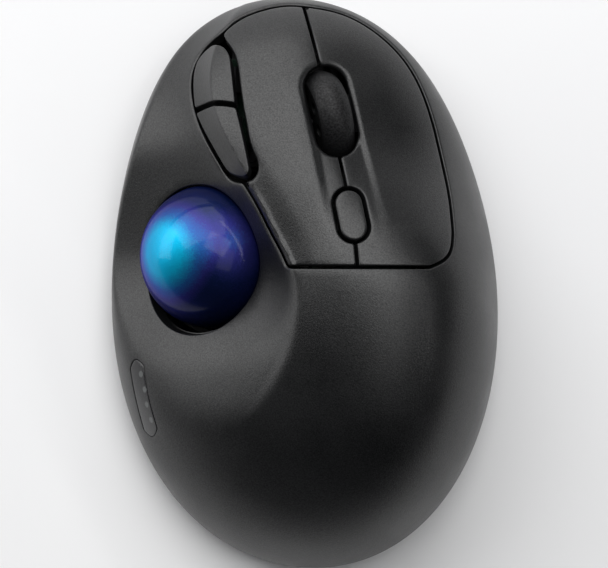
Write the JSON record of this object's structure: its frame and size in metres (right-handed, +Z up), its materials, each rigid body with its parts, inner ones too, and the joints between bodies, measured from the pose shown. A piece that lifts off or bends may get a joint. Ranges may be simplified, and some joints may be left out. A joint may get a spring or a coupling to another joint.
{
  "type": "trackball mouse",
  "caption": "Right-handed wireless thumb trackball mouse with a tilted scroll wheel, split main keys, side buttons and a domed palm rest.",
  "frame": {"origin": "middle of the outline on the desk, at the bottom of the feet", "axes": "+Y towards the front with the keys, +X to the user's right, +Z up"},
  "size_m": [0.0938, 0.138, 0.0504],
  "materials": {
    "shell_black": "fine satin texture",
    "key_black": "fine satin texture",
    "ball_blue": "pearlescent, polished",
    "wheel_rubber": "smooth matte",
    "hub_grey": "moulded",
    "base_black": "fine grained",
    "foot_grey": "slick",
    "label_silver": "printed film, blank",
    "screw_steel": "zinc plated",
    "board_green": "solder mask",
    "chip_black": "moulded epoxy",
    "switch_black": "moulded",
    "plunger_white": "moulded",
    "inner_grey": "moulded",
    "bearing_white": "polished ceramic",
    "lens_clear": "clear",
    "window_smoke": "translucent smoke",
    "guide_clear": "frosted",
    "led_white": "moulded",
    "battery_wrap": "printed film, blank",
    "contact_nickel": "nickel plated",
    "plug_steel": "stamped"
  },
  "bodies": {
    "case": {"top_cover": "shell_black", "status_window": "window_smoke", "bearing_balls": "bearing_white", "ball_cup": "inner_grey", "cup_screws": "screw_steel", "sensor_lens": "lens_clear", "sensor_chip": "chip_black", "sensor_board": "board_green", "switch_board": "board_green", "inner_frame": "inner_grey", "frame_screws": "screw_steel", "side_board": "board_green", "main_board": "board_green", "board_screws": "screw_steel", "board_parts": "chip_black", "board_header": "chip_black", "bottom_case": "base_black", "case_screws": "screw_steel", "feet": "foot_grey", "rating_label": "label_silver", "battery": "battery_wrap", "battery_contact": "contact_nickel", "battery_spring": "contact_nickel", "receiver_body": "switch_black", "receiver_plug": "plug_steel", "power_switch": "switch_black", "pairing_switch": "switch_black", "indicator_board": "board_green", "status_leds": "led_white", "light_guide": "guide_clear", "left_switch": "switch_black", "right_switch": "switch_black", "middle_switch": "switch_black", "dpi_switch": "switch_black", "forward_switch": "switch_black", "back_switch": "switch_black"},
    "ball": {"trackball": "ball_blue"},
    "left_key": {"left_key": "key_black"},
    "right_key": {"right_key": "key_black"},
    "wheel_carrier": {"wheel_cradle": "inner_grey", "wheel_encoder": "switch_black"},
    "scroll_wheel": {"wheel_tyre": "wheel_rubber", "wheel_hub": "hub_grey", "wheel_axle": "screw_steel"},
    "dpi_button": {"dpi_button": "key_black"},
    "forward_button": {"forward_button": "key_black"},
    "back_button": {"back_button": "key_black"},
    "battery_door": {"battery_door": "base_black"},
    "power_slider": {"power_slider": "hub_grey"},
    "pairing_button": {"pairing_button": "hub_grey"},
    "left_plunger": {"left_plunger": "plunger_white"},
    "right_plunger": {"right_plunger": "plunger_white"},
    "middle_plunger": {"middle_plunger": "plunger_white"},
    "dpi_plunger": {"dpi_plunger": "plunger_white"},
    "forward_plunger": {"forward_plunger": "plunger_white"},
    "back_plunger": {"back_plunger": "plunger_white"}
  },
  "joints": [
    {"name": "ball_roll", "type": "hinge", "parent": "case", "child": "ball", "pos_m": [-0.0218, 0.0066, 0.0225], "axis": [0.7966, -0.0001, 0.6045], "continuous": true},
    {"name": "left_key_press", "type": "hinge", "parent": "case", "child": "left_key", "pos_m": [0.0045, -0.0033, 0.0436], "axis": [-1, 0, 0], "range_deg": [0, 0.7], "stiffness_Nm_per_rad": 1.2, "springref_deg": -0.69},
    {"name": "right_key_press", "type": "hinge", "parent": "case", "child": "right_key", "pos_m": [0.019, -0.0033, 0.0443], "axis": [-1, 0, 0], "range_deg": [0, 0.7], "stiffness_Nm_per_rad": 1.2, "springref_deg": -0.69},
    {"name": "wheel_press", "type": "hinge", "parent": "case", "child": "wheel_carrier", "pos_m": [0.00728, 0.02372, 0.02363], "axis": [-0.9473, -0.2101, 0.2417], "range_deg": [0, 1.2], "stiffness_Nm_per_rad": 1.5, "springref_deg": -0.69},
    {"name": "wheel_spin", "type": "hinge", "parent": "wheel_carrier", "child": "scroll_wheel", "pos_m": [0.0051, 0.0386, 0.028], "axis": [0.9473, 0.2101, -0.2417], "continuous": true},
    {"name": "dpi_press", "type": "slide", "parent": "case", "child": "dpi_button", "axis": [0, 0, -1], "range_m": [0, 0.0005], "stiffness_N_per_m": 500, "springref_m": -0.0005},
    {"name": "forward_press", "type": "slide", "parent": "case", "child": "forward_button", "axis": [0.5, 0, -0.866], "range_m": [0, 0.0005], "stiffness_N_per_m": 500, "springref_m": -0.0005},
    {"name": "back_press", "type": "slide", "parent": "case", "child": "back_button", "axis": [0.5, 0, -0.866], "range_m": [0, 0.0005], "stiffness_N_per_m": 500, "springref_m": -0.0005},
    {"name": "left_plunger_slide", "type": "slide", "parent": "case", "child": "left_plunger", "axis": [0, 0, -1], "range_m": [0, 0.00049]},
    {"name": "right_plunger_slide", "type": "slide", "parent": "case", "child": "right_plunger", "axis": [0, 0, -1], "range_m": [0, 0.00049]},
    {"name": "middle_plunger_slide", "type": "slide", "parent": "case", "child": "middle_plunger", "axis": [0, 0, -1], "range_m": [0, 0.00052]},
    {"name": "dpi_plunger_slide", "type": "slide", "parent": "case", "child": "dpi_plunger", "axis": [0, 0, -1], "range_m": [0, 0.00046]},
    {"name": "forward_plunger_slide", "type": "slide", "parent": "case", "child": "forward_plunger", "axis": [0.5, 0, -0.866], "range_m": [0, 0.00046]},
    {"name": "back_plunger_slide", "type": "slide", "parent": "case", "child": "back_plunger", "axis": [0.5, 0, -0.866], "range_m": [0, 0.00046]},
    {"name": "battery_door_swing", "type": "hinge", "parent": "case", "child": "battery_door", "pos_m": [0.0005, -0.0096, 0.0019], "axis": [1, 0, 0], "range_deg": [0, 95]},
    {"name": "power_slide", "type": "slide", "parent": "case", "child": "power_slider", "axis": [0, 1, 0], "range_m": [0, 0.0035]},
    {"name": "pairing_press", "type": "slide", "parent": "case", "child": "pairing_button", "axis": [0, 0, 1], "range_m": [0, 0.00035], "stiffness_N_per_m": 600, "springref_m": -0.0004}
  ],
  "couplings": [
    {"joint": "left_plunger_slide", "follows": "left_key_press", "m_per_rad": 0.0394},
    {"joint": "right_plunger_slide", "follows": "right_key_press", "m_per_rad": 0.0394},
    {"joint": "middle_plunger_slide", "follows": "wheel_press", "m_per_rad": 0.0239},
    {"joint": "dpi_plunger_slide", "follows": "dpi_press", "ratio": 0.9},
    {"joint": "forward_plunger_slide", "follows": "forward_press", "ratio": 0.9},
    {"joint": "back_plunger_slide", "follows": "back_press", "ratio": 0.9}
  ]
}
